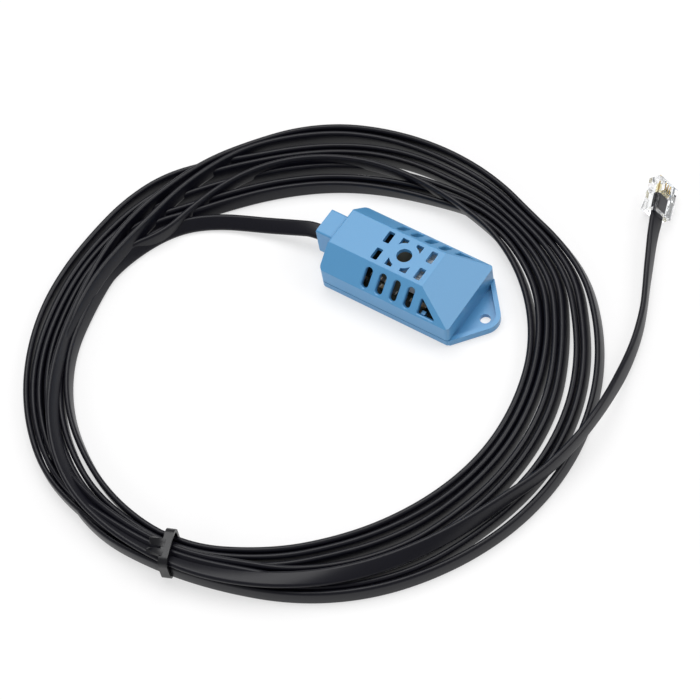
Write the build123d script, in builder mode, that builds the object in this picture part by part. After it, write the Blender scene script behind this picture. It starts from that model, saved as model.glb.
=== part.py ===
from build123d import *
import math
import os

# A temperature and humidity sensor: a vented two-part housing with a mounting ear, its circuit
# board, and a flat four-core cord that lies in a tied coil and ends in a clear modular plug.
# All sizes are in millimetres. The origin is on the underside, below the middle of the housing.
# X runs from the cord's neck to the ear, and Z is up.

# Housing
neck_length = 5.9
body_length = 44.1
ear_length = 8.8
body_width = 25.5
top_width = 13.0
body_height = 15.0
band_top = 8.65
seam_height = 2.8
end_slope_run = 11.75
wall = 1.5
corner_radius = 1.2
edge_radius = 0.35
floor_thickness = 1.5
fit = 0.15
groove_height = 0.3
groove_depth = 0.6
base_radius = 0.8

# Neck and cord entry
neck_width = 9.0
neck_bottom = 3.4
neck_top = 13.8
neck_edge = 0.6
entry_height = 6.2
entry_clearance = 0.1

# Vents in the top
vent_middle = -1.35
round_vent_radius = 2.33
ring_radius = 4.4
corner_vent_reach = 3.6
corner_vent_side = 5.2
spoke_width = 2.75
window_width = 2.1
window_length = 4.1
window_pitch_x = 14.7
window_pitch_y = 6.55
window_radius = 0.4

# Vents in the sloping sides, measured down the slope from the top edge
slot_count = 4
slot_pitch = 4.8
slot_middle = -1.1
slot_start_share = 0.185
slot_length_share = 0.724
slot_width = 2.3
slot_chamfer = 0.25
gusset_left = 9.9
gusset_right = 16.1
gusset_top_share = 0.348
gusset_corner_radius = 0.3

# Mounting ear
ear_root_inset = 0.35
ear_tip_radius = 5.2
ear_rim_width = 1.4
ear_rim_height = 3.0
ear_hole_radius = 1.6
ear_hole_inset = 4.4

# Joint between the two halves
lip_thickness = 1.0
lip_height = 1.2
catch_length = 4.0
catch_height = 0.6
catch_depth = 0.45
catch_pitch = 22.0

# Circuit board
board_length = 36.0
board_clearance = 0.75
board_width = body_width - 2 * (wall + board_clearance)
board_thickness = 1.2
board_height = 4.3
board_middle = 0.4
standoff_radius = 2.0
stake_radius = 0.8
stake_clearance = 0.1
stake_height = 0.6
standoff_inset = 2.5
standoff_pitch_x = board_length - 2 * standoff_inset
standoff_pitch_y = board_width - 2 * standoff_inset
hold_rib_width = 1.2

# Humidity element and thermistor
element_length = 12.4
element_width = 9.0
element_head_room = 1.5
element_x = 4.0
element_y = 0.8
element_radius = 1.2
element_wall = 0.8
element_slot_width = 0.8
element_slot_count = 5
element_slot_pitch = 1.9
element_pin_radius = 0.3
element_pin_pitch = 5.08
element_standoff = 1.0
element_foot = board_height + board_thickness + element_standoff
element_height = body_height - wall - element_head_room - element_foot
bead_radius = 1.3
bead_height = 3.4
bead_lead_radius = 0.25
bead_lead_pitch = 1.6
bead_x = 12.6
bead_y = -1.2

# Chips and small parts on the board
chip_body_width = 3.9
chip_body_height = 1.5
chip_lift = 0.1
chip_bevel = 0.2
chip_pin_pitch = 1.27
chip_lead_width = 0.42
chip_lead_thickness = 0.2
chip_lead_reach = 1.05
big_chip_pins = 7
small_chip_pins = 4
big_chip_x = -7.2
big_chip_y = -0.2
small_chip_x = 11.6
small_chip_inset = 4.6
small_chip_y = board_width / 2 - small_chip_inset
small_part_length = 2.0
small_part_width = 1.25
capacitor_height = 1.1
resistor_height = 0.5
cap_thickness = 0.35
tantalum_length = 3.5
tantalum_width = 2.8
tantalum_height = 1.9
tantalum_x = -11.6
tantalum_inset = 3.6
tantalum_y = board_width / 2 - tantalum_inset
resistor_places = ((-9.6, -5.2), (-6.2, -5.2), (-1.2, -7.3), (2.2, -7.3), (12.6, -7.3), (-4.4, 7.4))
capacitor_places = ((-11.4, -7.6), (-8.0, -7.6), (-4.6, -7.6), (5.6, -7.6), (9.2, -7.3), (-8.0, 7.4))

# Cord
cord_width = 4.8
cord_thickness = 1.7
jacket_inside = 9.3
core_radius = 0.5
core_pitch = 1.1
pad_pitch = 2.5
pad_x = -14.2
core_reach = 1.1
core_bend = 0.7
core_rise = 1.4
solder_radius = 0.85
solder_height = 0.6
inner_tie_width = 2.4
inner_tie_thickness = 0.8
inner_tie_head = 3.2

# Coil, by angle in degrees and radius about its own middle
coil_x = -11.5
coil_y = -35.5
coil_height = 5.1
outer_edge = (
    (0, 82.0), (22, 83.0), (42, 82.2), (60, 78.7), (78, 80.0), (100, 81.3), (120, 82.0), (143, 79.0),
    (165, 81.0), (190, 82.2), (212, 84.1), (235, 83.9), (255, 81.6), (270, 79.0), (287, 77.5),
    (310, 79.0), (335, 80.6),
)
inner_edge = (
    (196, 68.2), (212, 69.3), (228, 70.3), (250, 70.3), (266, 69.3), (285, 65.8), (303, 61.6),
    (328, 58.9), (0, 59.7), (30, 62.1), (55, 64.0), (72, 65.0), (88, 62.3), (105, 59.9), (125, 59.1),
    (145, 60.2), (153, 61.4), (159, 63.9), (165, 66.1), (171, 67.2), (178, 68.4),
)

# Free stretches of the cord, from the housing to the coil and from the coil to the plug
sensor_route = (
    (-29.4, 0.0, 6.2), (-34.0, 0.0, 6.2), (-39.6, -1.5, 4.9), (-45.8, -3.1, 3.3), (-52.2, -5.0, 2.3),
    (-58.6, -7.3, 2.0), (-64.4, -10.1, 2.0), (-69.3, -14.0, 2.0), (-72.9, -19.0, 2.0),
    (-75.5, -25.1, 2.1), (-77.4, -31.5, 2.3), (-78.9, -37.8, 2.5), (-80.0, -43.0, 2.5),
)
plug_route = (
    (62.4, -51.2, 7.75), (67.1, -39.6, 7.75), (69.7, -27.0, 7.75), (70.4, -15.3, 7.75), (69.3, -4.5, 5.9),
    (67.5, 5.2, 3.4), (65.4, 14.5, 2.6), (62.6, 23.5, 2.5), (59.2, 32.3, 2.7), (56.0, 40.6, 3.7),
)

# How far the flat cord leans over, in degrees, at even steps along each stretch
sensor_leans = (90, 84, 68, 56, 50, 47, 45, 43, 40, 34, 24, 10, 0)
plug_leans = (0, 0, 0, 0, 0, 0, -2, -6, -10, -13, -14, -13, -10, -8, -8, -12, -18, -27, -36.9)

# Tie round the coil
tie_x = -8.7
tie_skew = 22.0
tie_width = 2.6
tie_thickness = 0.9
tie_inner_edge = 69.0
tie_outer_edge = 79.2
tie_clearance = 0.05
tie_corner_radius = 1.6
bundle_lift = 1.1
bundle_height = 8.4
hump_reach = 46.0
hump_flat = 7.0
tail_length = 4.2
tail_width = 2.1
tail_thickness = 0.9
tail_steps = 4
tail_rise = 0.5
tails = ((0.4, 15.0), (-2.6, -12.0))

# Plug
plug_rear = Vector(51.05, 53.5, 4.9)
plug_heading = 109.3
plug_roll = 36.9
plug_length = 11.5
plug_approach = 6.5
plug_width = 7.65
plug_depth = 5.0
plug_rear_depth = 4.6
plug_nose_chamfer = 0.7
plug_edge_radius = 0.3
plug_jacket_reach = 6.2
jacket_clearance = 0.15
contact_count = 4
contact_pitch = 1.02
contact_thickness = 0.35
contact_length = 3.4
contact_inset = 0.9
contact_drop = 0.6
contact_slot = 0.5
plug_core_radius = 0.42
plug_core_pitch = 1.02
latch_width = 3.3
latch_thickness = 0.9
latch_lift = 2.0
latch_set_back = 2.6
latch_root = 2.2
latch_shoulder_width = 5.6
latch_shoulder_start = 2.6
latch_shoulder_end = 4.4
latch_shoulder_depth = 1.3


def export(piece, name):
    piece.part.label = name
    export_step(piece.part, f"parts/{name}.step")


def coil_point(angle, radius):
    turn = math.radians(angle)
    return (coil_x + radius * math.cos(turn), coil_y + radius * math.sin(turn))


def corner_radii(route):
    """Give each corner of a route the radius of the widest arc that its two runs allow."""
    points = [Vector(*point) for point in route]
    radii = []
    for before, corner, after in zip(points, points[1:], points[2:]):
        arriving = corner - before
        leaving = after - corner
        half_turn = math.radians(arriving.get_angle(leaving)) / 2
        radii.append(0.45 * min(arriving.length, leaving.length) / math.tan(half_turn))
    return radii


def make_lead(route, radii, leans):
    """Draw the flat cord along a route, with its section leaning by the next angle at each even step."""
    with BuildPart() as lead:
        with BuildLine() as line:
            FilletPolyline(*route, radius=radii)
        path = line.wires()[0]
        for step, lean in enumerate(leans):
            place = step / (len(leans) - 1)
            way = path % place
            side = Vector(way.Y, -way.X, 0).normalized()
            wide = side.cross(way) * math.cos(math.radians(lean)) + side * math.sin(math.radians(lean))
            with BuildSketch(Plane(origin=path @ place, x_dir=wide, z_dir=way)):
                SlotOverall(cord_width, cord_thickness)
        loft()
    return lead, line


os.makedirs("parts", exist_ok=True)

neck_end = -(neck_length + body_length + ear_length) / 2
cable_wall = neck_end + neck_length
ear_wall = cable_wall + body_length
ear_tip = ear_wall + ear_length
body_middle = (cable_wall + ear_wall) / 2
slope_start = ear_wall - end_slope_run
ear_hole_x = ear_tip - ear_hole_inset
board_top = board_height + board_thickness

# Plane on the near sloping side: its Y runs up the slope and its Z points outwards
side_rise = body_height - band_top
side_run = (body_width - top_width) / 2
slope_length = math.hypot(side_run, side_rise)
slot_start = slope_length * slot_start_share
slot_length = slope_length * slot_length_share
gusset_top = slope_length * gusset_top_share
near_side = Plane(
    origin=(0, -top_width / 2, body_height), x_dir=(1, 0, 0), z_dir=(0, -side_rise, side_run)
)
far_side = Plane(
    origin=(0, top_width / 2, body_height), x_dir=(-1, 0, 0), z_dir=(0, side_rise, side_run)
)

# Top cover: a gabled section, cut by the end slope, hollowed, and rounded at its upright corners
with BuildPart() as top_cover:
    with BuildSketch(Plane.YZ.offset(cable_wall)):
        with BuildLine():
            Polyline(
                (-body_width / 2, seam_height),
                (-body_width / 2, band_top),
                (-top_width / 2, body_height),
                (top_width / 2, body_height),
                (body_width / 2, band_top),
                (body_width / 2, seam_height),
                close=True,
            )
        make_face()
    extrude(amount=body_length)
    with BuildSketch(Plane.XZ):
        with BuildLine():
            Polyline(
                (slope_start, body_height), (ear_wall, band_top), (ear_wall, body_height), close=True
            )
        make_face()
    extrude(amount=body_width, both=True, mode=Mode.SUBTRACT)
    offset(amount=-wall, openings=top_cover.faces().sort_by(Axis.Z)[0], kind=Kind.INTERSECTION)
    with BuildSketch(Plane.XY.offset(seam_height)):
        with Locations((body_middle, 0)):
            RectangleRounded(body_length, body_width, corner_radius)
    extrude(amount=body_height, mode=Mode.INTERSECT)
    crown = top_cover.faces().filter_by(Axis.Z).sort_by(Axis.Z)[-1]
    fillet(crown.edges(), edge_radius)

    # A narrow groove all round above the seam
    with BuildSketch(Plane.XY.offset(seam_height)):
        with Locations((body_middle, 0)):
            RectangleRounded(body_length, body_width, corner_radius)
            RectangleRounded(
                body_length - 2 * groove_depth, body_width - 2 * groove_depth, corner_radius - groove_depth,
                mode=Mode.SUBTRACT,
            )
    extrude(amount=groove_height, mode=Mode.SUBTRACT)

    # The neck that the cord leaves by, with a slot that fits the cord lying flat
    with BuildSketch(Plane.YZ.offset(neck_end)):
        with Locations((0, (neck_bottom + neck_top) / 2)):
            RectangleRounded(neck_width, neck_top - neck_bottom, neck_edge)
    extrude(amount=neck_length + wall / 2)
    with BuildSketch(Plane.YZ.offset(neck_end)):
        with Locations((0, entry_height)):
            SlotOverall(cord_width + 2 * entry_clearance, cord_thickness + 2 * entry_clearance)
    extrude(amount=neck_length + wall, mode=Mode.SUBTRACT)

    # Vents in the top: a round one inside a ring, four corner openings, and four windows
    with BuildSketch(Plane.XY.offset(body_height)):
        with Locations((vent_middle, 0)):
            with GridLocations(corner_vent_reach + spoke_width / 2, corner_vent_side, 2, 2):
                Rectangle(corner_vent_reach - spoke_width / 2, corner_vent_side)
            Circle(ring_radius, mode=Mode.SUBTRACT)
            Circle(round_vent_radius)
            with GridLocations(window_pitch_x, window_pitch_y, 2, 2):
                RectangleRounded(window_width, window_length, window_radius)
    extrude(amount=-(wall + fit), mode=Mode.SUBTRACT)

    # Slots and one three-cornered opening in each sloping side
    for side, way in ((near_side, 1), (far_side, -1)):
        with BuildSketch(side):
            with Locations((way * slot_middle, -(slot_start + slot_length / 2))):
                with GridLocations(slot_pitch, slot_pitch, slot_count, 1):
                    SlotOverall(slot_length, slot_width, rotation=90)
            with BuildLine():
                FilletPolyline(
                    (way * gusset_left, -gusset_top),
                    (way * gusset_left, -(slot_start + slot_length)),
                    (way * gusset_right, -(slot_start + slot_length)),
                    radius=gusset_corner_radius,
                    close=True,
                )
            make_face()
        extrude(amount=-(wall + fit), mode=Mode.SUBTRACT)
        outwards = Axis(side.origin, side.z_dir)
        sloping_face = top_cover.faces().filter_by(outwards).sort_by(outwards)[-1]
        chamfer(sloping_face.inner_wires().edges(), slot_chamfer)

    # Ribs inside that hold the board down, and the pockets that the base's catches snap into
    with BuildSketch(Plane.XY.offset(board_top)):
        with Locations((board_middle, 0)):
            with GridLocations(catch_pitch, body_width - 2 * wall - hold_rib_width, 2, 2):
                Rectangle(hold_rib_width, hold_rib_width)
    extrude(amount=band_top - board_top)
    with BuildSketch(Plane.XY.offset(seam_height + fit)):
        with Locations((body_middle, 0)):
            with GridLocations(catch_pitch, body_width - 2 * wall + catch_depth, 2, 2):
                Rectangle(catch_length + 2 * fit, catch_depth)
    extrude(amount=catch_height + 2 * fit, mode=Mode.SUBTRACT)

# Base: a shallow tray with a locating lip, board posts, and the mounting ear with its raised rim
ear_centre = ear_tip - ear_tip_radius
root_half = body_width / 2 - ear_root_inset
edge_angle = math.atan2(root_half, ear_centre - ear_wall) - math.asin(
    ear_tip_radius / math.hypot(root_half, ear_centre - ear_wall)
)
pocket_half = root_half - ear_rim_width / math.cos(edge_angle)

with BuildPart() as base_shell:
    with BuildSketch():
        with Locations((body_middle, 0)):
            RectangleRounded(body_length, body_width, corner_radius)
    extrude(amount=seam_height)
    with BuildSketch():
        with BuildLine():
            Line((ear_wall - corner_radius, -root_half), (ear_wall - corner_radius, root_half))
            Line((ear_wall, -root_half), (ear_wall, root_half))
            CenterArc((ear_centre, 0), ear_tip_radius, 0, 360)
        make_hull()
    extrude(amount=ear_rim_height)
    with BuildSketch(Plane.XY.offset(floor_thickness)):
        with BuildLine():
            Line((ear_wall, -pocket_half), (ear_wall, pocket_half))
            CenterArc((ear_centre, 0), ear_tip_radius - ear_rim_width, 0, 360)
        make_hull()
    extrude(amount=ear_rim_height, mode=Mode.SUBTRACT)
    with BuildSketch(Plane.XY.offset(seam_height)):
        with Locations((ear_wall - body_length / 2, 0)):
            Rectangle(body_length, body_width)
    extrude(amount=body_height, mode=Mode.SUBTRACT)
    underside = base_shell.faces().sort_by(Axis.Z)[0]
    fillet(underside.edges(), base_radius)
    with BuildSketch(Plane.XY.offset(floor_thickness)):
        with Locations((body_middle, 0)):
            Rectangle(body_length - 2 * wall, body_width - 2 * wall)
    extrude(amount=body_height, mode=Mode.SUBTRACT)
    with BuildSketch(Plane.XY.offset(floor_thickness)):
        with Locations((body_middle, 0)):
            Rectangle(body_length - 2 * wall, body_width - 2 * wall)
            Rectangle(
                body_length - 2 * wall - 2 * lip_thickness,
                body_width - 2 * wall - 2 * lip_thickness,
                mode=Mode.SUBTRACT,
            )
    extrude(amount=seam_height - floor_thickness)
    with BuildSketch(Plane.XY.offset(seam_height)):
        with Locations((body_middle, 0)):
            Rectangle(body_length - 2 * (wall + fit), body_width - 2 * (wall + fit))
            Rectangle(
                body_length - 2 * wall - 2 * lip_thickness,
                body_width - 2 * wall - 2 * lip_thickness,
                mode=Mode.SUBTRACT,
            )
    extrude(amount=lip_height)
    with BuildSketch(Plane.XY.offset(seam_height + 2 * fit)):
        with Locations((body_middle, 0)):
            with GridLocations(catch_pitch, body_width - 2 * (wall + fit) + catch_depth, 2, 2):
                Rectangle(catch_length, catch_depth)
    extrude(amount=catch_height)
    with BuildSketch(Plane.XY.offset(floor_thickness)):
        with Locations((board_middle, 0)):
            with GridLocations(standoff_pitch_x, standoff_pitch_y, 2, 2):
                Circle(standoff_radius)
    extrude(amount=board_height - floor_thickness)
    with BuildSketch(Plane.XY.offset(board_height)):
        with Locations((board_middle, 0)):
            with GridLocations(standoff_pitch_x, standoff_pitch_y, 2, 2):
                Circle(stake_radius)
    extrude(amount=board_thickness + stake_height)
    with Locations((ear_hole_x, 0, floor_thickness)):
        Hole(ear_hole_radius)

# Circuit board, drilled for the four posts
with BuildPart() as circuit_board:
    with BuildSketch(Plane.XY.offset(board_height)):
        with Locations((board_middle, 0)):
            Rectangle(board_length, board_width)
            with GridLocations(standoff_pitch_x, standoff_pitch_y, 2, 2):
                Circle(stake_radius + stake_clearance, mode=Mode.SUBTRACT)
    extrude(amount=board_thickness)

# Humidity element: a slotted case on two pins
element_bottom = board_top + element_standoff
with BuildPart() as humidity_element:
    with BuildSketch(Plane.XY.offset(element_bottom)):
        with Locations((element_x, element_y)):
            RectangleRounded(element_width, element_length, element_radius)
    extrude(amount=element_height)
    lid_edges = humidity_element.faces().sort_by(Axis.Z)[-1].edges()
    fillet(lid_edges, edge_radius)
    with BuildSketch(Plane.XY.offset(element_bottom + element_height)):
        with Locations((element_x, element_y)):
            with GridLocations(element_slot_pitch, element_slot_pitch, 1, element_slot_count):
                SlotOverall(element_width - 2 * element_radius, element_slot_width)
    extrude(amount=-element_wall, mode=Mode.SUBTRACT)

with BuildPart() as humidity_element_pins:
    with BuildSketch(Plane.XY.offset(board_top)):
        with Locations((element_x, element_y)):
            with GridLocations(element_pin_pitch, element_pin_pitch, 1, 2):
                Circle(element_pin_radius)
    extrude(amount=element_standoff)

# Thermistor: an epoxy bead on two leads
with BuildPart() as thermistor:
    with BuildSketch(Plane.XZ.offset(-bead_y)):
        with BuildLine():
            Line((bead_x, board_top + bead_height), (bead_x, board_top + bead_height - 2 * bead_radius))
            CenterArc((bead_x, board_top + bead_height - bead_radius), bead_radius, -90, 180)
        make_face()
    revolve(axis=Axis((bead_x, bead_y, 0), (0, 0, 1)))

with BuildPart() as thermistor_leads:
    with BuildSketch(Plane.XY.offset(board_top)):
        with Locations((bead_x, bead_y)):
            with GridLocations(bead_lead_pitch, bead_lead_pitch, 1, 2):
                Circle(bead_lead_radius)
    extrude(until=Until.NEXT, target=thermistor.part)

# Chips: bodies, and gull-wing leads along both long sides
def make_chip_body(pins, x, y):
    with BuildPart() as chip_body:
        with BuildSketch(Plane.XY.offset(board_top + chip_lift)):
            with Locations((x, y)):
                Rectangle(pins * chip_pin_pitch, chip_body_width)
        extrude(amount=chip_body_height)
        chamfer(chip_body.faces().sort_by(Axis.Z)[-1].edges(), chip_bevel)
    return chip_body


controller_chip = make_chip_body(big_chip_pins, big_chip_x, big_chip_y)
memory_chip = make_chip_body(small_chip_pins, small_chip_x, small_chip_y)

lead_middle = board_top + chip_lift + chip_body_height / 2
lead_root = chip_body_width / 2
lead_knee = lead_root + chip_lead_reach / 2
lead_foot = lead_root + chip_lead_reach
with BuildPart() as chip_leads:
    for pins, chip_x, chip_y in (
        (big_chip_pins, big_chip_x, big_chip_y),
        (small_chip_pins, small_chip_x, small_chip_y),
    ):
        for way in (1, -1):
            across = Plane(origin=(chip_x, chip_y, 0), x_dir=(0, way, 0), z_dir=(way, 0, 0))
            with BuildSketch(across):
                with BuildLine():
                    Polyline(
                        (lead_root, lead_middle + chip_lead_thickness / 2),
                        (lead_knee, lead_middle + chip_lead_thickness / 2),
                        (lead_knee, board_top + chip_lead_thickness),
                        (lead_foot, board_top + chip_lead_thickness),
                        (lead_foot, board_top),
                        (lead_knee - chip_lead_thickness, board_top),
                        (lead_knee - chip_lead_thickness, lead_middle - chip_lead_thickness / 2),
                        (lead_root, lead_middle - chip_lead_thickness / 2),
                        close=True,
                    )
                make_face()
            one_lead = extrude(amount=chip_lead_width / 2, both=True, mode=Mode.PRIVATE)
            with Locations(*[((pin - (pins - 1) / 2) * chip_pin_pitch, 0, 0) for pin in range(pins)]):
                add(one_lead)


# Small parts: a middle of ceramic between two metal end caps
def make_small_bodies(places, height):
    with BuildPart() as small_bodies:
        with BuildSketch(Plane.XY.offset(board_top)):
            with Locations(*places):
                Rectangle(small_part_length - 2 * cap_thickness, small_part_width)
        extrude(amount=height)
    return small_bodies


chip_resistors = make_small_bodies(resistor_places, resistor_height)
chip_capacitors = make_small_bodies(capacitor_places, capacitor_height)

with BuildPart() as end_caps:
    for places, height in ((resistor_places, resistor_height), (capacitor_places, capacitor_height)):
        with BuildSketch(Plane.XY.offset(board_top)):
            with Locations(*places):
                with GridLocations(small_part_length - cap_thickness, small_part_width, 2, 1):
                    Rectangle(cap_thickness, small_part_width)
        extrude(amount=height)

with BuildPart() as tantalum_capacitor:
    with BuildSketch(Plane.XY.offset(board_top)):
        with Locations((tantalum_x, tantalum_y)):
            Rectangle(tantalum_length, tantalum_width)
    extrude(amount=tantalum_height)
    chamfer(tantalum_capacitor.faces().sort_by(Axis.Z)[-1].edges(), edge_radius)

# End of the cord's jacket, inside the neck and the housing
jacket_end = neck_end + jacket_inside
with BuildPart() as jacket_in_neck:
    with BuildSketch(Plane.YZ.offset(neck_end)):
        with Locations((0, entry_height)):
            SlotOverall(cord_width, cord_thickness)
    extrude(amount=jacket_inside)

# The strain relief: a small tie pulled tight on the jacket, behind the wall
with BuildPart() as inner_tie:
    with BuildSketch(Plane.YZ.offset(cable_wall + wall)):
        with Locations((0, entry_height)):
            SlotOverall(cord_width + 2 * inner_tie_thickness, cord_thickness + 2 * inner_tie_thickness)
        with Locations((0, entry_height + cord_thickness / 2 + inner_tie_thickness)):
            Rectangle(inner_tie_head, inner_tie_thickness)
        with Locations((0, entry_height)):
            SlotOverall(cord_width, cord_thickness, mode=Mode.SUBTRACT)
    extrude(amount=inner_tie_width)

# Four insulated cores, from the jacket's end to their pads
core_names = ("core_black", "core_red", "core_green", "core_yellow")
cores = []
for index, core_name in enumerate(core_names):
    step = index - (len(core_names) - 1) / 2
    core_y = step * core_pitch
    pad_y = step * pad_pitch
    with BuildPart() as core:
        with BuildLine() as core_path:
            FilletPolyline(
                (jacket_end, core_y, entry_height),
                (jacket_end + core_reach, core_y, entry_height),
                (pad_x, pad_y, entry_height + core_rise),
                (pad_x, pad_y, board_top + solder_height),
                radius=core_bend,
            )
        with BuildSketch(Plane.YZ.offset(jacket_end)):
            with Locations((core_y, entry_height)):
                Circle(core_radius)
        sweep(path=core_path.line)
    cores.append((core, core_name))

with BuildPart() as solder_joints:
    with BuildSketch(Plane.XY.offset(board_top)):
        with Locations((pad_x, 0)):
            with GridLocations(pad_pitch, pad_pitch, 1, len(core_names)):
                Circle(solder_radius)
    extrude(amount=solder_height, taper=25)

# Directions along the plug and out of its contact side
heading = math.radians(plug_heading)
roll = math.radians(plug_roll)
plug_axis = Vector(math.cos(heading), math.sin(heading), 0)
plug_right = Vector(math.sin(heading), -math.cos(heading), 0)
contact_side = plug_right * math.cos(roll) + Vector(0, 0, 1) * math.sin(roll)
plug_profile = Plane(origin=plug_rear, x_dir=plug_axis, z_dir=plug_axis.cross(contact_side))
plug_face = Plane(origin=plug_rear, x_dir=plug_axis, z_dir=contact_side)
plug_back = Plane(origin=plug_rear, x_dir=plug_profile.z_dir, z_dir=plug_axis)

# Free stretches of the cord
approach = plug_rear - plug_axis * plug_approach
plug_path = plug_route + (tuple(approach), tuple(plug_rear))
sensor_radii = corner_radii(sensor_route)
plug_radii = corner_radii(plug_path)

cord_sensor_lead, sensor_line = make_lead(sensor_route, sensor_radii, sensor_leans)
cord_plug_lead, plug_line = make_lead(plug_path, plug_radii, plug_leans)

# Coil: one solid of its outer shape, with a step that the first lead runs into
lead_end = Vector(*sensor_route[-1])
lead_way = (lead_end - Vector(*sensor_route[-2])).normalized()
lead_side = Vector(lead_way.Y, -lead_way.X, 0)
step_half = cord_thickness / 2 + jacket_clearance
step_out = lead_end + lead_side * step_half
step_in = lead_end - lead_side * step_half
bundle_middle = coil_y - (tie_inner_edge + tie_outer_edge) / 2
bundle_width = tie_outer_edge - tie_inner_edge
bundle_top = bundle_lift + bundle_height
tie_turn = math.radians(tie_skew)
tie_plane = Plane(
    origin=(tie_x, bundle_middle, bundle_lift + bundle_height / 2),
    x_dir=(-math.sin(tie_turn), math.cos(tie_turn), 0),
    z_dir=(math.cos(tie_turn), math.sin(tie_turn), 0),
)
with BuildPart() as cord_coil:
    with BuildSketch():
        with BuildLine():
            Spline(*[coil_point(*place) for place in outer_edge], periodic=True)
        make_face()
        with BuildLine():
            Spline(
                (step_in.X, step_in.Y),
                *[coil_point(*place) for place in inner_edge],
                (step_out.X, step_out.Y),
            )
            Line((step_out.X, step_out.Y), (step_in.X, step_in.Y))
        make_face(mode=Mode.SUBTRACT)
    extrude(amount=bundle_top)
    with BuildSketch(Plane.XZ.offset(-(coil_y - tie_inner_edge / 2))):
        with BuildLine():
            Line((tie_x - 2 * hump_reach, coil_height), (tie_x - hump_reach, coil_height))
            Spline(
                (tie_x - hump_reach, coil_height),
                (tie_x - hump_flat, bundle_top),
                (tie_x + hump_flat, bundle_top),
                (tie_x + hump_reach, coil_height),
                tangents=((1, 0), (1, 0)),
            )
            Line((tie_x + hump_reach, coil_height), (tie_x + 2 * hump_reach, coil_height))
            Line((tie_x + 2 * hump_reach, coil_height), (tie_x + 2 * hump_reach, 2 * bundle_top))
            Line((tie_x + 2 * hump_reach, 2 * bundle_top), (tie_x - 2 * hump_reach, 2 * bundle_top))
            Line((tie_x - 2 * hump_reach, 2 * bundle_top), (tie_x - 2 * hump_reach, coil_height))
        make_face()
    extrude(amount=tie_outer_edge, mode=Mode.SUBTRACT)
    with BuildSketch(Plane.XY.offset(coil_height)):
        with Locations((coil_x, coil_y + tie_outer_edge - tie_inner_edge / 2)):
            Rectangle(4 * tie_outer_edge, 2 * tie_outer_edge)
    extrude(amount=bundle_top, mode=Mode.SUBTRACT)
    with BuildSketch(tie_plane):
        Rectangle(3 * bundle_width, 3 * bundle_height)
        RectangleRounded(bundle_width, bundle_height, tie_corner_radius, mode=Mode.SUBTRACT)
    extrude(amount=tie_width / 2 + tie_clearance, both=True, mode=Mode.SUBTRACT)

# Tie: a band round the bundle, with its two ends left standing out beside it
with BuildPart() as coil_tie:
    with BuildSketch(tie_plane):
        RectangleRounded(
            bundle_width + 2 * tie_thickness, bundle_height + 2 * tie_thickness,
            tie_corner_radius + tie_thickness,
        )
        RectangleRounded(bundle_width, bundle_height, tie_corner_radius, mode=Mode.SUBTRACT)
    extrude(amount=tie_width / 2, both=True)

coil_tails = []
for tail_place, tail_turn in tails:
    with BuildPart() as coil_tail:
        for step in range(tail_steps + 1):
            share = step / tail_steps
            turned = math.radians(tail_turn * step)
            reach = (tail_width * abs(math.sin(turned)) + tail_thickness * math.cos(turned)) / 2
            height = bundle_height / 2 + tie_clearance + reach + tail_rise * share
            with BuildSketch(tie_plane.offset(-(tie_width / 2 - tail_thickness + share * tail_length))):
                with Locations((tail_place, height)):
                    Rectangle(tail_width, tail_thickness, rotation=tail_turn * step)
        loft()
    coil_tails.append(coil_tail)
for coil_tail in coil_tails:
    with coil_tie:
        add(coil_tail.part)

# Plug body: clear, with a cord channel, contact slots and a latch moulded in one with it
nose_top = plug_depth / 2
with BuildPart() as plug_body:
    with BuildSketch(plug_profile):
        with BuildLine():
            Polyline(
                (0, -plug_rear_depth / 2),
                (0, plug_rear_depth / 2),
                (plug_length / 3, nose_top),
                (plug_length - plug_nose_chamfer, nose_top),
                (plug_length, nose_top - plug_nose_chamfer),
                (plug_length, -nose_top),
                (plug_length / 3, -nose_top),
                close=True,
            )
        make_face()
    extrude(amount=plug_width / 2, both=True)
    long_edges = plug_body.edges().filter_by(Axis(plug_rear, plug_axis))
    fillet(long_edges, plug_edge_radius)
    with BuildSketch(plug_profile):
        with BuildLine():
            Polyline(
                (plug_length, -nose_top),
                (plug_length - latch_root, -nose_top),
                (latch_set_back, -nose_top - latch_lift),
                (latch_set_back, -nose_top - latch_lift - latch_thickness),
                (plug_length - latch_root / 2, -nose_top - latch_thickness),
                (plug_length, -nose_top - latch_thickness / 2),
                close=True,
            )
        make_face()
    extrude(amount=latch_width / 2, both=True)
    with BuildSketch(plug_profile):
        with BuildLine():
            Polyline(
                (plug_length - latch_shoulder_start, -nose_top),
                (plug_length - latch_shoulder_end, -nose_top),
                (plug_length - latch_shoulder_end, -nose_top - latch_shoulder_depth),
                (plug_length - latch_shoulder_start, -nose_top - latch_shoulder_depth / 2),
                close=True,
            )
        make_face()
    extrude(amount=latch_shoulder_width / 2, both=True)
    with BuildSketch(plug_back):
        SlotOverall(cord_width + 2 * jacket_clearance, cord_thickness + 2 * jacket_clearance)
    extrude(amount=plug_jacket_reach + jacket_clearance, mode=Mode.SUBTRACT)
    with BuildSketch(plug_back.offset(plug_jacket_reach)):
        with GridLocations(plug_core_pitch, plug_core_pitch, contact_count, 1):
            Circle(plug_core_radius + jacket_clearance / 2)
    extrude(amount=plug_length - plug_jacket_reach - contact_inset, mode=Mode.SUBTRACT)
    with BuildSketch(plug_face.offset(nose_top)):
        with Locations((plug_length - contact_inset - contact_length / 2, 0)):
            with GridLocations(contact_pitch, contact_pitch, 1, contact_count):
                Rectangle(contact_length, contact_slot)
    extrude(amount=-nose_top, mode=Mode.SUBTRACT)

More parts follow.
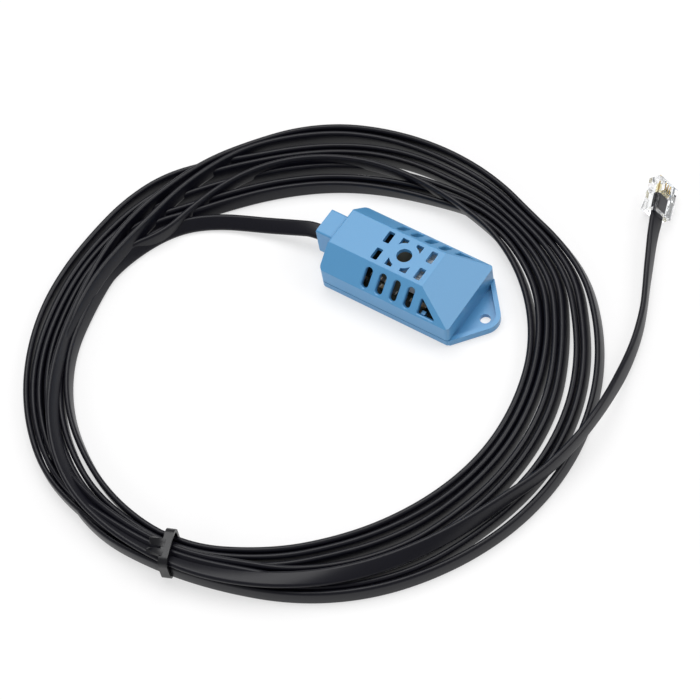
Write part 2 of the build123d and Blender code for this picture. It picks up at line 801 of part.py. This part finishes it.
with BuildPart() as plug_contacts:
    with BuildSketch(plug_face.offset(nose_top - contact_drop)):
        with Locations((plug_length - contact_inset - contact_length / 2, 0)):
            with GridLocations(contact_pitch, contact_pitch, 1, contact_count):
                Rectangle(contact_length, contact_thickness)
    extrude(amount=-(nose_top - contact_drop - plug_core_radius))

with BuildPart() as jacket_in_plug:
    with BuildSketch(plug_back):
        SlotOverall(cord_width, cord_thickness)
    extrude(amount=plug_jacket_reach)

with BuildPart() as plug_cores:
    with BuildSketch(plug_back.offset(plug_jacket_reach)):
        with GridLocations(plug_core_pitch, plug_core_pitch, contact_count, 1):
            Circle(plug_core_radius)
    extrude(amount=plug_length - plug_jacket_reach - 2 * contact_inset)

pieces = [
    (top_cover, "top_cover"),
    (base_shell, "base_shell"),
    (circuit_board, "circuit_board"),
    (humidity_element, "humidity_element"),
    (humidity_element_pins, "humidity_element_pins"),
    (thermistor, "thermistor"),
    (thermistor_leads, "thermistor_leads"),
    (controller_chip, "controller_chip"),
    (memory_chip, "memory_chip"),
    (chip_leads, "chip_leads"),
    (chip_resistors, "chip_resistors"),
    (chip_capacitors, "chip_capacitors"),
    (end_caps, "end_caps"),
    (tantalum_capacitor, "tantalum_capacitor"),
    (jacket_in_neck, "jacket_in_neck"),
    (inner_tie, "inner_tie"),
    (solder_joints, "solder_joints"),
    (cord_sensor_lead, "cord_sensor_lead"),
    (cord_coil, "cord_coil"),
    (cord_plug_lead, "cord_plug_lead"),
    (coil_tie, "coil_tie"),
    (plug_body, "plug_body"),
    (plug_contacts, "plug_contacts"),
    (jacket_in_plug, "jacket_in_plug"),
    (plug_cores, "plug_cores"),
]
for piece, name in pieces + cores:
    export(piece, name)

section_area = (cord_width - cord_thickness) * cord_thickness + math.pi * (cord_thickness / 2) ** 2
for lead, line, radii in (
    (cord_sensor_lead, sensor_line, sensor_radii),
    (cord_plug_lead, plug_line, plug_radii),
):
    run_length = sum(edge.length for edge in line.edges())
    print("corner radii", [round(radius, 1) for radius in radii])
    print("volume", round(lead.part.volume, 1), "section x length", round(section_area * run_length, 1))
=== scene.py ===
import math

import bpy
from mathutils import Matrix, Vector


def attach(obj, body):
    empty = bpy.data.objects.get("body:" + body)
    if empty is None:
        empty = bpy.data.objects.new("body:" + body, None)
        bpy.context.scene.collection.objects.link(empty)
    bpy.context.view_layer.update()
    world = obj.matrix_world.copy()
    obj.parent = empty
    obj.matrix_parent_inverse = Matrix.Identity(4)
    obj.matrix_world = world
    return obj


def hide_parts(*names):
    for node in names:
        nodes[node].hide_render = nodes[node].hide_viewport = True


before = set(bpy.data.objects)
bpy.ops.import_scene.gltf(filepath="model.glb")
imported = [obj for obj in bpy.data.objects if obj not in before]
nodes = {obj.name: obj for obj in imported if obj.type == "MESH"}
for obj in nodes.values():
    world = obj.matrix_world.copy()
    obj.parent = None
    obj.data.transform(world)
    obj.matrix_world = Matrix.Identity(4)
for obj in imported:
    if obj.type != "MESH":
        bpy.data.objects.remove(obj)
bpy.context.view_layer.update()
MM = 0.001

# Camera: its angles in degrees, and its place in millimetres along its own right, up and back
camera_elevation = 56.62
camera_azimuth = -43.12
camera_roll = 11.61
camera_place = (-18.37, -18.49, 701.5)
camera_lens = 123.43
camera_film = 36

lift = math.radians(camera_elevation)
turn = math.radians(camera_azimuth)
roll = math.radians(camera_roll)
spin = Matrix(((math.cos(turn), -math.sin(turn), 0), (math.sin(turn), math.cos(turn), 0), (0, 0, 1)))
tip = Matrix(((1, 0, 0), (0, math.sin(lift), math.cos(lift)), (0, -math.cos(lift), math.sin(lift))))
bank = Matrix(((math.cos(roll), -math.sin(roll), 0), (math.sin(roll), math.cos(roll), 0), (0, 0, 1)))
facing = (bank @ tip @ spin).transposed()
camera_data = bpy.data.cameras.new("camera")
camera_data.sensor_width = camera_film
camera_data.lens = camera_lens
camera_data.clip_start = 0.05
camera_data.clip_end = 20
camera = bpy.data.objects.new("camera", camera_data)
camera.matrix_world = Matrix.Translation(facing @ Vector(camera_place) * MM) @ facing.to_4x4()
bpy.context.scene.collection.objects.link(camera)
bpy.context.scene.camera = camera

# The flat cord, and its route from the housing to the coil and from the coil to the plug
cord_width = 4.8
cord_thickness = 1.7
sensor_route = (
    (-29.4, 0.0, 6.2), (-34.0, -0.1, 6.1), (-38.6, -1.4, 5.2), (-43.6, -2.7, 4.0), (-49.2, -4.4, 3.0),
    (-54.8, -6.3, 2.5), (-60.6, -8.6, 2.2), (-66.2, -11.8, 2.1), (-70.9, -15.7, 2.1), (-74.5, -20.5, 2.1),
    (-77.2, -26.2, 2.2), (-79.2, -32.5, 2.3), (-80.3, -38.5, 2.4), (-80.5, -43.5, 2.5),
)
plug_route = (
    (62.6, -51.4, 7.75), (67.6, -39.4, 7.75), (70.3, -26.7, 7.75), (71.1, -15.0, 7.75), (70.2, -4.0, 5.9),
    (68.5, 5.8, 3.4), (66.4, 15.2, 2.6), (63.4, 24.1, 2.5), (59.5, 32.6, 2.7), (56.0, 40.7, 3.7),
    (53.2, 47.37, 4.9), (51.05, 53.5, 4.9),
)

# The coil turns about its middle. Angles along the cord run on from turn to turn, in degrees.
coil_middle = (-11.5, -35.5)
first_angle = 186
last_angle = 3228
lead_joins_angle = 155
lead_joins_span = 22
point_step = 10
room_before_first = 12
room_after_last = 6

# Edges of the coil on the floor, by angle about its middle
outer_edge = (
    (0, 82.6), (22, 83.1), (36, 83.0), (48, 82.9), (55, 82.2), (60, 80.4), (65, 79.2), (75, 79.9),
    (90, 80.9), (105, 81.8), (120, 82.4), (132, 81.2), (140, 79.6), (146, 79.4), (154, 81.0),
    (162, 82.0), (170, 82.2), (178, 81.8), (185, 81.7), (190, 83.0), (200, 83.4), (218, 84.1),
    (240, 83.7), (255, 81.6), (270, 79.0), (285, 77.6), (300, 78.2), (315, 79.4), (330, 80.3),
    (345, 81.6),
)
inner_edge = (
    (0, 59.65), (15, 60.5), (30, 62.1), (45, 63.4), (60, 64.6), (73, 65.3), (82, 63.6), (92, 61.6),
    (103, 60.0), (125, 59.0), (140, 59.5), (150, 60.7), (158, 61.7), (165, 63.2), (171, 65.3),
    (178, 67.3), (186, 68.5), (192, 68.2), (199, 68.7), (207, 69.8), (215, 70.3), (230, 70.3),
    (240, 69.8), (250, 69.9), (262, 69.6), (272, 69.0), (280, 67.4), (288, 65.0), (297, 62.9),
    (307, 60.9), (318, 59.6), (332, 58.8), (346, 59.0),
)

# Stretches that lie on top of the others: from where it starts to rise to where it is down again
lifted = (
    (430, 446, 512, 530), (1308, 1336, 1366, 1390), (2032, 2059, 2089, 2113),
    (2654, 2676, 2756, 2778), (3014, 3036, last_angle + 1, last_angle + 2),
)

# Stretches with room beside them: from, to, and how many lanes of it
spaces = (
    (1062, 1104, 0.5), (1420, 1460, 0.13), (1790, 1836, 1.0), (2130, 2190, 0.05), (2500, 2560, 0.8),
    (470, 520, 0.5), (1185, 1240, 0.8), (1540, 1600, 0.9), (2270, 2290, 0.9), (400, 420, 0.3),
    (228, 250, 0.4), (640, 690, 0.3), (1005, 1050, 0.5), (2105, 2140, 0.3), (1950, 2005, 0.6),
)
space_fade_start = 12
space_fade_span = 18

# Stretches that cross over the coil, the last of which leaves it: angle, radius, height and lean
crossing_blend = 12
crossings = (
    (
        (424, 65.6, 2.5, -4), (434, 65.2, 3.6, -6), (443, 64.9, 4.8, -8), (452, 65.2, 5.4, -8),
        (461, 66.2, 5.5, -4), (470, 67.3, 5.4, 0), (480, 68.2, 5.2, 0), (490, 68.4, 5.0, 0),
        (500, 67.6, 4.8, 0), (510, 65.9, 4.4, 0), (519, 64.2, 3.8, 0), (528, 63.3, 3.2, 0),
        (538, 64.2, 2.6, 0),
    ),
    (
        (2644, 79.5, 2.5, 0), (2657, 78.2, 2.9, 0), (2661, 76.6, 3.6, 4), (2666, 74.9, 4.4, 8),
        (2671, 73.4, 4.9, 8), (2678, 71.4, 5.3, 10), (2685, 69.5, 5.4, 12), (2693, 68.7, 5.4, 14),
        (2698, 69.0, 5.4, 16), (2703, 69.6, 5.4, 18), (2712, 70.3, 5.4, 20), (2719, 71.0, 5.2, 20),
        (2728, 72.6, 4.8, 16), (2736, 74.6, 4.3, 12), (2744, 76.4, 3.8, 8), (2751, 77.9, 3.4, 4),
        (2760, 79.4, 2.9, 0), (2770, 80.6, 2.6, 0), (2782, 80.0, 2.5, 0),
    ),
    (
        (3004, 81.0, 2.5, 0), (3013, 79.9, 2.5, 0), (3020, 78.6, 3.1, 0), (3026, 77.5, 4.2, 2),
        (3031, 75.9, 4.9, 4), (3037, 74.8, 5.3, 6), (3045, 74.1, 5.5, 6), (3055, 73.2, 5.5, 6),
        (3064, 72.4, 5.4, 6), (3072, 71.8, 5.3, 6), (3080, 72.0, 5.6, 12), (3088, 72.8, 5.9, 22),
        (3096, 74.1, 6.1, 30), (3104, 75.5, 6.3, 34), (3112, 77.0, 6.4, 38), (3122, 78.1, 6.5, 46),
        (3131, 78.0, 6.5, 54), (3141, 76.9, 6.6, 62), (3152, 76.1, 6.8, 68), (3160, 75.9, 7.0, 74),
        (3171, 75.0, 7.1, 84), (3182, 74.4, 7.0, 98), (3192, 73.9, 6.9, 114),
        (3203, 73.5, 6.9, 130), (3215, 73.8, 7.1, 146), (3228, 75.6, 7.6, 163),
    ),
)

# Heights of the coil, in millimetres, gathered and stacked where the tie holds it
tie_angle = 270
tie_reach = 34
floor_gap = 0.05
gathered_lift = 1.1
gathered_spread = 1.25
stacked_lift = 3.4
stacked_drop = 0.7

# The spline runs this much inside the points that guide it
spline_allowance = 1.0032


def ease(t):
    """A soft step from 0 to 1."""
    t = min(max(t, 0.0), 1.0)
    return t * t * (3 - 2 * t)


def hermite(points, x, period=None):
    """The value at x of the smooth line through the given points, which may close after a period."""
    xs = [p[0] for p in points]
    n = len(points)
    if period:
        x = x % period
    k = max([i for i in range(n) if xs[i] <= x], default=-1)
    if not period:
        k = min(max(k, 0), n - 2)

    def at(i):
        if period:
            return xs[i % n] + period * (i // n), points[i % n][1]
        i = min(max(i, 0), n - 1)
        return xs[i], points[i][1]

    (xa, ya), (xb, yb), (xc, yc), (xd, yd) = at(k - 1), at(k), at(k + 1), at(k + 2)
    slope_b = (yc - ya) / (xc - xa) if xc > xa else 0
    slope_c = (yd - yb) / (xd - xb) if xd > xb else 0
    h = xc - xb
    t = min(max((x - xb) / h, 0.0), 1.0)
    return (
        yb * (1 + 2 * t) * (1 - t) ** 2
        + h * slope_b * t * (1 - t) ** 2
        + yc * t * t * (3 - 2 * t)
        + h * slope_c * t * t * (t - 1)
    )


def rise(angle):
    """How far a stretch is up on the others, from 0 to 1."""
    most = 0.0
    for a, b, c, d in lifted:
        if a < angle < d:
            most = max(most, min(ease((angle - a) / (b - a)), ease((d - angle) / (d - c))))
    return most


def presence(angle):
    """How much of the floor's width a stretch takes, with the sensor's lead as it comes in."""
    if angle > last_angle:
        return 0.0
    if angle < first_angle:
        return ease((angle - lead_joins_angle) / lead_joins_span)
    return 1 - rise(angle)


def space(angle):
    """The room, in lanes, between a stretch and the one a turn later."""
    room = 0.0
    for start, end, most in spaces:
        fade_in = ease((angle - start + space_fade_start) / space_fade_span)
        fade_out = ease((end + space_fade_start - angle) / space_fade_span)
        room += most * min(fade_in, fade_out)
    return room * presence(angle) * presence(angle + 360)


def lanes(angle):
    """Lanes between the coil's inner edge and the middle of this stretch."""
    total = presence(angle) / 2
    inner = angle - 360
    while inner > lead_joins_angle:
        total += presence(inner) + space(inner)
        inner -= 360
    return total


def on_top(angle):
    """Radius, height, lean and weight where a stretch is one of those that cross over the coil."""
    for table in crossings:
        start, end = table[0][0], table[-1][0]
        if start < angle <= end:
            weight = ease((angle - start) / crossing_blend)
            if end < last_angle:
                weight = min(weight, ease((end - angle) / crossing_blend))
            return [hermite([(row[0], row[k]) for row in table], angle) for k in (1, 2, 3)] + [weight]
    return [0.0, 0.0, 0.0, 0.0]


def coil_point(angle):
    """A point that guides the cord in the coil, in millimetres."""
    place = angle % 360
    low = hermite(inner_edge, place, 360) + cord_thickness / 2
    high = hermite(outer_edge, place, 360) - cord_thickness / 2
    outermost = place + 360 * math.floor((last_angle - place) / 360)
    count = lanes(outermost) + presence(outermost) / 2
    share = (lanes(angle) - 0.5) / (count - 1)
    radius = low + (high - low) * min(max(share, 0.0), 1.0)
    at_tie = max(0.0, 1 - abs((place - tie_angle + 180) % 360 - 180) / tie_reach)
    height = cord_width / 2 + floor_gap + gathered_lift * ease(at_tie * gathered_spread)
    height += (stacked_lift - stacked_drop * ease(at_tie)) * rise(angle)
    top_radius, top_height, _, weight = on_top(angle)
    radius += (top_radius - radius) * weight
    height += (top_height - height) * weight
    radius *= spline_allowance
    return (
        coil_middle[0] + radius * math.cos(math.radians(angle)),
        coil_middle[1] + radius * math.sin(math.radians(angle)),
        height,
    )


line = list(sensor_route)
angle = first_angle + room_before_first
while angle < last_angle - room_after_last:
    line.append(coil_point(angle))
    angle += point_step
line += plug_route

spine_data = bpy.data.curves.new("cord_spine", "CURVE")
spine_data.dimensions = "3D"
spine_data.resolution_u = 8
spline = spine_data.splines.new("NURBS")
spline.points.add(len(line) - 1)
for point, place in zip(spline.points, line):
    point.co = (place[0] * MM, place[1] * MM, place[2] * MM, 1)
spline.order_u = 3
spline.use_endpoint_u = True
spine = bpy.data.objects.new("cord_spine", spine_data)
bpy.context.scene.collection.objects.link(spine)
bpy.context.view_layer.update()
as_line = bpy.data.meshes.new_from_object(spine.evaluated_get(bpy.context.evaluated_depsgraph_get()))
path = [v.co.copy() for v in as_line.vertices]
bpy.data.objects.remove(spine)

# How far along the cord each point of that line is, in metres
travelled = [0.0]
for a, b in zip(path, path[1:]):
    travelled.append(travelled[-1] + (b - a).length)
whole = travelled[-1]

# How far round the coil's middle each point is, in degrees
turned = []
for p in path:
    here = math.degrees(math.atan2(p.y - coil_middle[1] * MM, p.x - coil_middle[0] * MM))
    while turned and here < turned[-1] - 180:
        here += 360
    turned.append(here)

# Lean of the flat section, in degrees: by distance from the housing and from the plug in millimetres
lean_from_housing = (
    (0, 78), (4, 74), (10, 66), (18, 58), (26, 52), (36, 46), (50, 38), (64, 32), (78, 22), (94, 14),
    (112, 10), (140, 6), (175, 0),
)
lean_from_plug = (
    (0, 143.1), (2, 143.1), (6, 151), (12, 160), (18, 165), (24, 171), (31, 173), (38, 169), (45, 166),
    (56, 162), (66, 168), (82, 172), (110, 165), (127, 147), (142, 131), (156, 115), (169, 99), (184, 85),
    (198, 75), (208, 69), (222, 63), (235, 55), (247, 47), (260, 39),
)

# In the coil the lean wavers a little, is more on two sides, and more where a stretch lies on others
waver = 4
waver_start = 0.6
waver_length = 190.0
left_lean = 13
left_side = 2.3
right_lean = 27
right_side = 0.85
lifted_lean = 34
lifted_from = 3.9
lifted_span = 3.0
crossing_share = 0.3


def lean_at(i):
    """The lean at a point of the line, in degrees."""
    from_housing = travelled[i] * 1000
    from_plug = (whole - travelled[i]) * 1000
    if from_housing < lean_from_housing[-1][0]:
        return hermite(lean_from_housing, from_housing)
    if from_plug < lean_from_plug[-1][0]:
        return hermite(lean_from_plug, from_plug)
    p = path[i]
    around = math.atan2(p.y - coil_middle[1] * MM, p.x - coil_middle[0] * MM)
    loose = waver * math.sin(around * 2 + waver_start)
    loose += waver * math.sin(around + from_housing / waver_length)
    at_left = max(0.0, math.cos(around - left_side)) ** 2
    at_right = max(0.0, math.cos(around - right_side)) ** 2
    loose += left_lean * at_left - right_lean * at_right
    up = max(0.0, (p.z * 1000 - lifted_from) / lifted_span)
    crossing_lean, weight = on_top(turned[i])[2:]
    on_floor = loose - lifted_lean * ease(up)
    return on_floor * (1 - weight) + (loose * crossing_share + crossing_lean) * weight


# The section: two flat sides and two round edges, as width and thickness from its middle
half_flat = (cord_width - cord_thickness) / 2
round_radius = cord_thickness / 2
edge_steps = 7
section = []
for sign in (1, -1):
    for k in range(edge_steps + 1):
        a = math.pi * k / edge_steps
        section.append((sign * (half_flat + round_radius * math.sin(a)), sign * round_radius * math.cos(a)))

vertices = []
faces = []
ring = len(section)
for i, p in enumerate(path):
    ahead = path[min(i + 1, len(path) - 1)] - path[max(i - 1, 0)]
    ahead.normalize()
    side = ahead.cross(Vector((0, 0, 1))).normalized()
    up = side.cross(ahead).normalized()
    tilt = math.radians(lean_at(i))
    wide = up * math.cos(tilt) + side * math.sin(tilt)
    thin = side * math.cos(tilt) - up * math.sin(tilt)
    for across, deep in section:
        vertices.append(p + (wide * across + thin * deep) * MM)
    if i:
        base = (i - 1) * ring
        for k in range(ring):
            n = (k + 1) % ring
            faces.append((base + k, base + ring + k, base + ring + n, base + n))
faces.append(tuple(range(ring)))
faces.append(tuple(len(path) * ring - 1 - k for k in range(ring)))
cord_mesh = bpy.data.meshes.new("cord")
cord_mesh.from_pydata([tuple(v) for v in vertices], [], faces)
cord_mesh.update()
for polygon in cord_mesh.polygons:
    polygon.use_smooth = len(polygon.vertices) == 4
cord = bpy.data.objects.new("cord", cord_mesh)
bpy.context.scene.collection.objects.link(cord)
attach(cord, "root")
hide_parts("cord_sensor_lead", "cord_coil", "cord_plug_lead")


# Materials
grain_depth = 0.0001


def srgb(r, g, b):
    """A colour as it is seen on a screen, from 0 to 255, as the shader's own colour."""

    def one(c):
        c /= 255
        return c / 12.92 if c <= 0.04045 else ((c + 0.055) / 1.055) ** 2.4

    return (one(r), one(g), one(b), 1)


def finish(name, color, roughness=0.5, metallic=0.0, speckle=0.0, grain=900, bump=0.0, **values):
    """A procedural finish: a base colour, with a fine mottle and a fine bump where it has them."""
    material = bpy.data.materials.new(name)
    material.use_nodes = True
    tree = material.node_tree
    shader = tree.nodes["Principled BSDF"]
    shader.inputs["Roughness"].default_value = roughness
    shader.inputs["Metallic"].default_value = metallic
    shader.inputs["Base Color"].default_value = color
    for key, value in values.items():
        shader.inputs[key.replace("_", " ")].default_value = value
    if not speckle and not bump:
        return material
    place = tree.nodes.new("ShaderNodeTexCoord")
    noise = tree.nodes.new("ShaderNodeTexNoise")
    noise.inputs["Scale"].default_value = grain
    noise.inputs["Detail"].default_value = 3
    tree.links.new(place.outputs["Object"], noise.inputs["Vector"])
    if speckle:
        mix = tree.nodes.new("ShaderNodeMix")
        mix.data_type = "RGBA"
        mix.inputs[6].default_value = tuple(c * (1 - speckle) for c in color[:3]) + (1,)
        mix.inputs[7].default_value = tuple(min(1, c * (1 + speckle)) for c in color[:3]) + (1,)
        tree.links.new(noise.outputs["Fac"], mix.inputs[0])
        tree.links.new(mix.outputs[2], shader.inputs["Base Color"])
    if bump:
        height = tree.nodes.new("ShaderNodeBump")
        height.inputs["Strength"].default_value = bump
        height.inputs["Distance"].default_value = grain_depth
        tree.links.new(noise.outputs["Fac"], height.inputs["Height"])
        tree.links.new(height.outputs["Normal"], shader.inputs["Normal"])
    return material


housing = finish("housing_blue", srgb(82, 147, 195), roughness=0.3, speckle=0.03, grain=2600, bump=0.04)
board = finish("board_green", srgb(40, 43, 24), roughness=0.5, speckle=0.12, grain=1500)
element = finish("element_white", srgb(250, 250, 248), roughness=0.6, speckle=0.01)
tinned = finish("tinned_metal", srgb(160, 158, 150), roughness=0.45, metallic=1.0)
epoxy = finish("epoxy_black", srgb(22, 22, 24), roughness=0.5, speckle=0.1, grain=3000)
resistor = finish("resistor_black", srgb(28, 28, 30), roughness=0.35)
capacitor = finish("capacitor_tan", srgb(176, 146, 104), roughness=0.45, speckle=0.06)
tantalum = finish("tantalum_dark", srgb(34, 32, 30), roughness=0.45, speckle=0.04)
bead = finish("bead_green", srgb(60, 92, 62), roughness=0.25)
jacket = finish(
    "cord_black",
    srgb(12, 12, 21),
    roughness=0.35,
    speckle=0.08,
    grain=700,
    bump=0.03,
    Specular_IOR_Level=0.31,
)
tie = finish("tie_black", srgb(14, 14, 19), roughness=0.36, speckle=0.06)
inner_tie = finish("inner_tie_white", srgb(228, 228, 222), roughness=0.4)
solder = finish("solder", srgb(200, 200, 204), roughness=0.25, metallic=1.0)
core_black = finish("insulation_black", srgb(26, 26, 26), roughness=0.35)
core_red = finish("insulation_red", srgb(186, 30, 28), roughness=0.35)
core_green = finish("insulation_green", srgb(32, 128, 60), roughness=0.35)
core_yellow = finish("insulation_yellow", srgb(222, 190, 50), roughness=0.35)
plug_core = finish("insulation_ivory", srgb(238, 229, 188), roughness=0.4)
gold = finish("contact_gold", srgb(236, 204, 128), roughness=0.3, metallic=1.0)
clear = finish("plug_clear", srgb(253, 254, 255), roughness=0.08, Transmission_Weight=1.0, IOR=1.22)

wear = {
    "top_cover": housing, "base_shell": housing, "circuit_board": board, "humidity_element": element,
    "humidity_element_pins": tinned, "thermistor": bead, "thermistor_leads": tinned,
    "controller_chip": epoxy, "memory_chip": epoxy, "chip_leads": tinned, "chip_resistors": resistor,
    "chip_capacitors": capacitor, "end_caps": tinned, "tantalum_capacitor": tantalum,
    "jacket_in_neck": jacket, "inner_tie": inner_tie, "solder_joints": solder, "core_black": core_black,
    "core_red": core_red, "core_green": core_green, "core_yellow": core_yellow, "coil_tie": tie,
    "plug_body": clear, "plug_contacts": gold, "jacket_in_plug": jacket, "plug_cores": plug_core,
}
for name, material in wear.items():
    piece = nodes[name]
    piece.data.materials.clear()
    piece.data.materials.append(material)
cord_mesh.materials.append(jacket)

# Floor
floor_size = 8
paper_color = (0.97, 0.965, 0.97, 1)
backdrop_share = 0.6

bpy.ops.mesh.primitive_plane_add(size=floor_size, location=(0, 0, 0))
floor = bpy.context.object
floor.name = "floor"
paper = bpy.data.materials.new("paper")
paper.use_nodes = True
paper_tree = paper.node_tree
paper_shader = paper_tree.nodes["Principled BSDF"]
paper_shader.inputs["Base Color"].default_value = paper_color
paper_shader.inputs["Roughness"].default_value = 0.9
paper_shader.inputs["Specular IOR Level"].default_value = 0.1


def seen_ray(tree, strength):
    """A value that is there only where the camera, a reflection or glass shows the surface."""
    ray = tree.nodes.new("ShaderNodeLightPath")
    value = ray.outputs["Is Camera Ray"]
    for other in ("Is Glossy Ray", "Is Transmission Ray"):
        either = tree.nodes.new("ShaderNodeMath")
        either.operation = "MAXIMUM"
        tree.links.new(value, either.inputs[0])
        tree.links.new(ray.outputs[other], either.inputs[1])
        value = either.outputs[0]
    scaled = tree.nodes.new("ShaderNodeMath")
    scaled.operation = "MULTIPLY"
    scaled.inputs[1].default_value = strength
    tree.links.new(value, scaled.inputs[0])
    return scaled.outputs[0]


white = paper_tree.nodes.new("ShaderNodeEmission")
shown = paper_tree.nodes.new("ShaderNodeMixShader")
paper_tree.links.new(seen_ray(paper_tree, backdrop_share), shown.inputs[0])
paper_tree.links.new(paper_shader.outputs[0], shown.inputs[1])
paper_tree.links.new(white.outputs[0], shown.inputs[2])
paper_tree.links.new(shown.outputs[0], paper_tree.nodes["Material Output"].inputs["Surface"])
floor.data.materials.append(paper)


# Lamps and world: a soft one overhead, one at the side, and one in front that no gloss shows
sky_strength = 0.33


def lamp(name, place, toward, size, power):
    """A square lamp at a place, turned toward another, in metres and watts."""
    data = bpy.data.lights.new(name, "AREA")
    data.shape = "SQUARE"
    data.size = size
    data.energy = power
    made = bpy.data.objects.new(name, data)
    made.location = place
    made.rotation_euler = (Vector(toward) - Vector(place)).to_track_quat("-Z", "Y").to_euler()
    bpy.context.scene.collection.objects.link(made)
    return made


lamp("overhead", place=(-0.3, 0.35, 1.2), toward=(0, -0.02, 0), size=1.0, power=10.8)
lamp("side", place=(0.75, 0.55, 0.9), toward=(0, 0, 0), size=0.7, power=5.2)
front = lamp("front", place=(-0.35, -0.95, 0.4), toward=(0, 0, 0), size=0.8, power=3.6)
front.visible_glossy = False

world = bpy.data.worlds.new("world")
bpy.context.scene.world = world
world.use_nodes = True
background = world.node_tree.nodes["Background"]
background.inputs["Color"].default_value = (1, 1, 1, 1)
background.inputs["Strength"].default_value = sky_strength
bpy.context.scene.view_settings.view_transform = "Standard"
